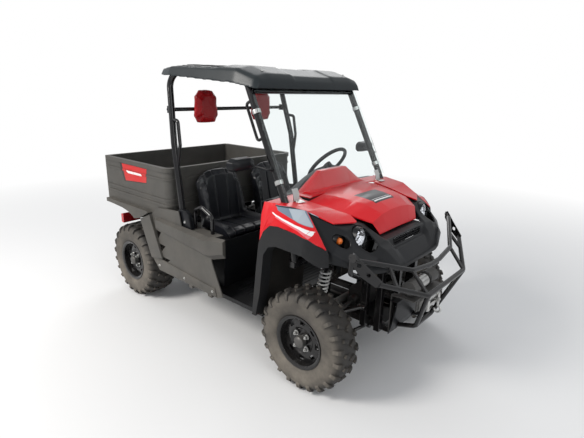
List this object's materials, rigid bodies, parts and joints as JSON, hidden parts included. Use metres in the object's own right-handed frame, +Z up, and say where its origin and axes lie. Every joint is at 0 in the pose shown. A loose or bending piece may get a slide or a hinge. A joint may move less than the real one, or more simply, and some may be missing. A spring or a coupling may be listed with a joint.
{
  "type": "side-by-side utility vehicle",
  "caption": "Open two-seat side-by-side off-road utility vehicle with a roll cage, moulded roof, windshield, front winch and bull bar, and a tipping cargo bed with a drop tailgate.",
  "frame": {"origin": "centre of the footprint of the overall box, on the ground", "axes": "+X forward, +Y to the driver's left, +Z up"},
  "size_m": [2.752, 1.52, 1.8686],
  "materials": {
    "tyre_rubber": "dusty matte",
    "rim_black": "satin",
    "black_steel": "satin powder coat",
    "grey_steel": "satin",
    "red_panel": "glossy",
    "grey_plastic": "grained matte",
    "black_plastic": "grained matte",
    "roof_plastic": "matte",
    "seat_vinyl": "grained vinyl",
    "red_vinyl": "smooth vinyl",
    "clear_screen": "clear",
    "lamp_clear": "clear over reflector",
    "lamp_amber": "clear amber",
    "lamp_red": "clear red",
    "white_coil": "gloss",
    "bare_steel": "brushed",
    "cast_aluminium": "cast"
  },
  "bodies": {
    "chassis": {"rear_hubs": "grey_steel", "front_arms": "black_steel", "rear_arms": "black_steel", "dampers": "black_steel", "coil_springs": "white_coil", "driveline": "grey_steel", "rack_housing": "cast_aluminium", "engine": "cast_aluminium", "exhaust": "grey_steel", "chassis_frame": "black_steel", "front_subframe": "black_steel", "rear_subframe": "black_steel", "roll_cage": "black_steel", "roof": "roof_plastic", "windshield": "clear_screen", "windshield_clamps": "bare_steel", "front_fenders": "red_panel", "front_fascia": "black_plastic", "headlamps": "lamp_clear", "indicator_lamps": "lamp_amber", "grille": "black_plastic", "fender_flares": "grey_plastic", "arch_liners": "black_plastic", "dash": "black_plastic", "floor_pan": "black_plastic", "seat_box": "black_plastic", "side_panels": "grey_plastic", "seat_driver": "seat_vinyl", "seat_passenger": "seat_vinyl", "headrests": "red_vinyl", "hip_rails": "black_steel", "mirrors": "black_plastic", "grab_handle": "black_steel", "bull_bar": "black_steel", "winch": "grey_steel", "fairlead": "bare_steel", "belly_plate": "black_plastic", "tail_lamps": "lamp_red", "driver_controls": "black_plastic"},
    "knuckle_left": {"knuckle_left": "grey_steel"},
    "knuckle_right": {"knuckle_right": "grey_steel"},
    "wheel_front_left": {"tyre_front_left": "tyre_rubber", "rim_front_left": "rim_black"},
    "wheel_front_right": {"tyre_front_right": "tyre_rubber", "rim_front_right": "rim_black"},
    "wheel_rear_left": {"tyre_rear_left": "tyre_rubber", "rim_rear_left": "rim_black"},
    "wheel_rear_right": {"tyre_rear_right": "tyre_rubber", "rim_rear_right": "rim_black"},
    "steering_rack": {"steering_rack": "bare_steel"},
    "steering_wheel": {"steering_wheel": "black_plastic"},
    "hood": {"hood_lid": "red_panel"},
    "bed": {"cargo_bed": "grey_plastic", "bed_frame": "black_steel"},
    "tailgate": {"tailgate": "grey_plastic"}
  },
  "joints": [
    {"name": "steer_left", "type": "hinge", "parent": "chassis", "child": "knuckle_left", "pos_m": [0.808, 0.53, 0.31], "axis": [0, 0, 1], "range_deg": [-30, 30]},
    {"name": "steer_right", "type": "hinge", "parent": "chassis", "child": "knuckle_right", "pos_m": [0.808, -0.53, 0.31], "axis": [0, 0, 1], "range_deg": [-30, 30]},
    {"name": "rack_slide", "type": "slide", "parent": "chassis", "child": "steering_rack", "axis": [0, -1, 0], "range_m": [-0.0446, 0.0446]},
    {"name": "steering_wheel_turn", "type": "hinge", "parent": "chassis", "child": "steering_wheel", "pos_m": [0.21, 0.339, 1.156], "axis": [-0.766, 0, 0.6428], "range_deg": [-360, 360]},
    {"name": "spin_front_left", "type": "hinge", "parent": "knuckle_left", "child": "wheel_front_left", "pos_m": [0.808, 0.585, 0.31], "axis": [0, 1, 0], "continuous": true},
    {"name": "spin_front_right", "type": "hinge", "parent": "knuckle_right", "child": "wheel_front_right", "pos_m": [0.808, -0.585, 0.31], "axis": [0, 1, 0], "continuous": true},
    {"name": "spin_rear_left", "type": "hinge", "parent": "chassis", "child": "wheel_rear_left", "pos_m": [-1.022, 0.56, 0.31], "axis": [0, 1, 0], "continuous": true},
    {"name": "spin_rear_right", "type": "hinge", "parent": "chassis", "child": "wheel_rear_right", "pos_m": [-1.022, -0.56, 0.31], "axis": [0, 1, 0], "continuous": true},
    {"name": "bed_tilt", "type": "hinge", "parent": "chassis", "child": "bed", "pos_m": [-1.207, 0, 0.74], "axis": [0, -1, 0], "range_deg": [0, 40]},
    {"name": "tailgate_drop", "type": "hinge", "parent": "bed", "child": "tailgate", "pos_m": [-1.3545, 0, 0.7795], "axis": [0, -1, 0], "range_deg": [0, 90]},
    {"name": "hood_lift", "type": "hinge", "parent": "chassis", "child": "hood", "pos_m": [0.621, 0, 1.086], "axis": [0, -1, 0], "range_deg": [0, 50]}
  ],
  "couplings": [
    {"joint": "steer_right", "follows": "steer_left", "ratio": 1},
    {"joint": "rack_slide", "follows": "steer_left", "m_per_rad": 0.085},
    {"joint": "steering_wheel_turn", "follows": "steer_left", "ratio": 12}
  ]
}
